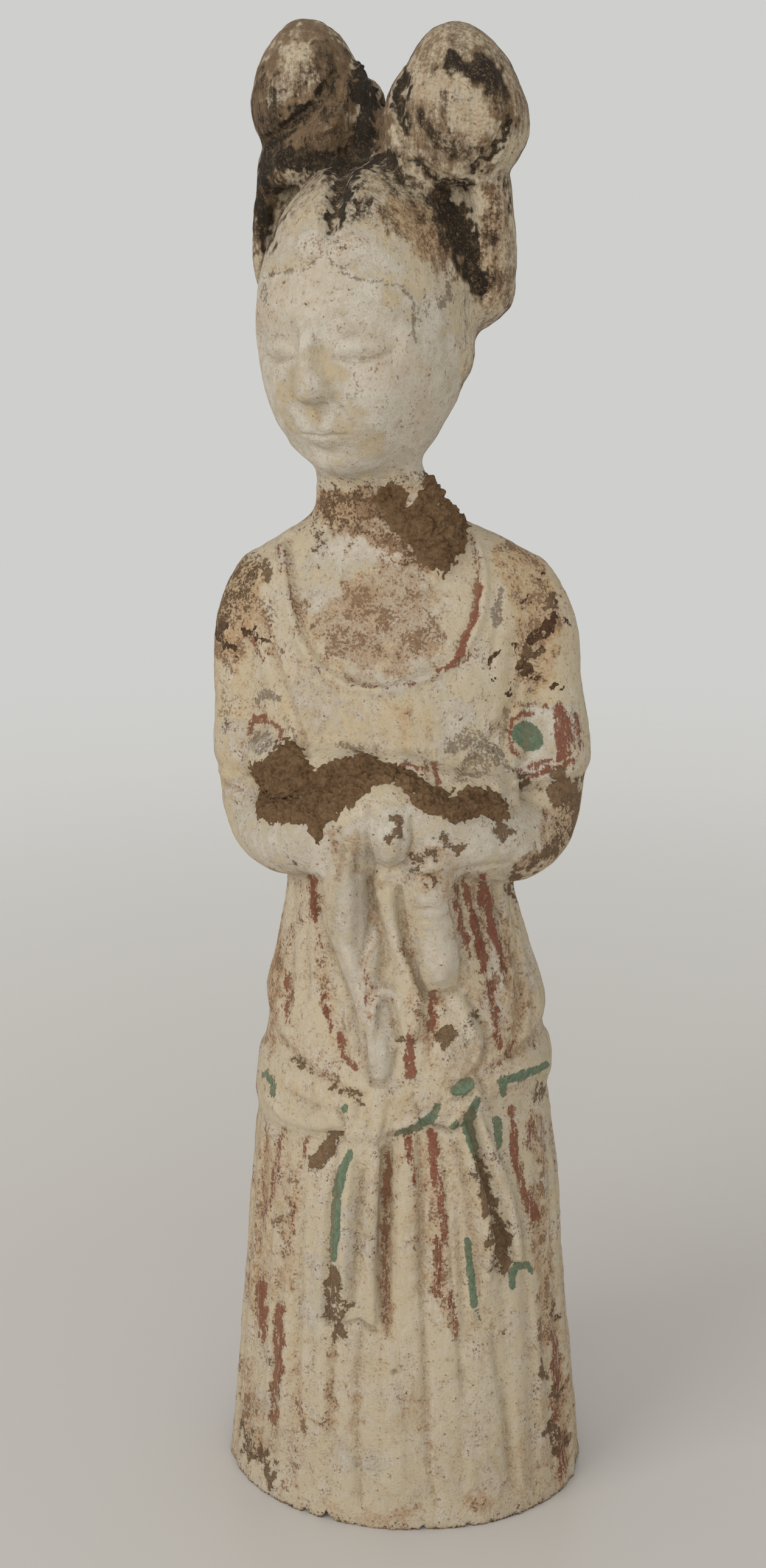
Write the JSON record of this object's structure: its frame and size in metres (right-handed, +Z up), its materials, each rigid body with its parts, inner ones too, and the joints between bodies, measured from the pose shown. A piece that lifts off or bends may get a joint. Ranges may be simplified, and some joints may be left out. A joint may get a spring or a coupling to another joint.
{
  "type": "terracotta female figure",
  "caption": "Standing terracotta court lady with two egg-shaped hair buns, arms folded under long sleeves, sashed overskirt, pleated skirt and flat base.",
  "frame": {"origin": "middle of the flat underside", "axes": "+Z up, the figure faces -Y, +X towards the figure's left hand"},
  "size_m": [0.0953, 0.0773, 0.363],
  "materials": {
    "painted_clay": "matt fired clay under worn cream slip, with traces of paint and dried mud"
  },
  "bodies": {
    "root": {"figure": "painted_clay"}
  },
  "joints": []
}
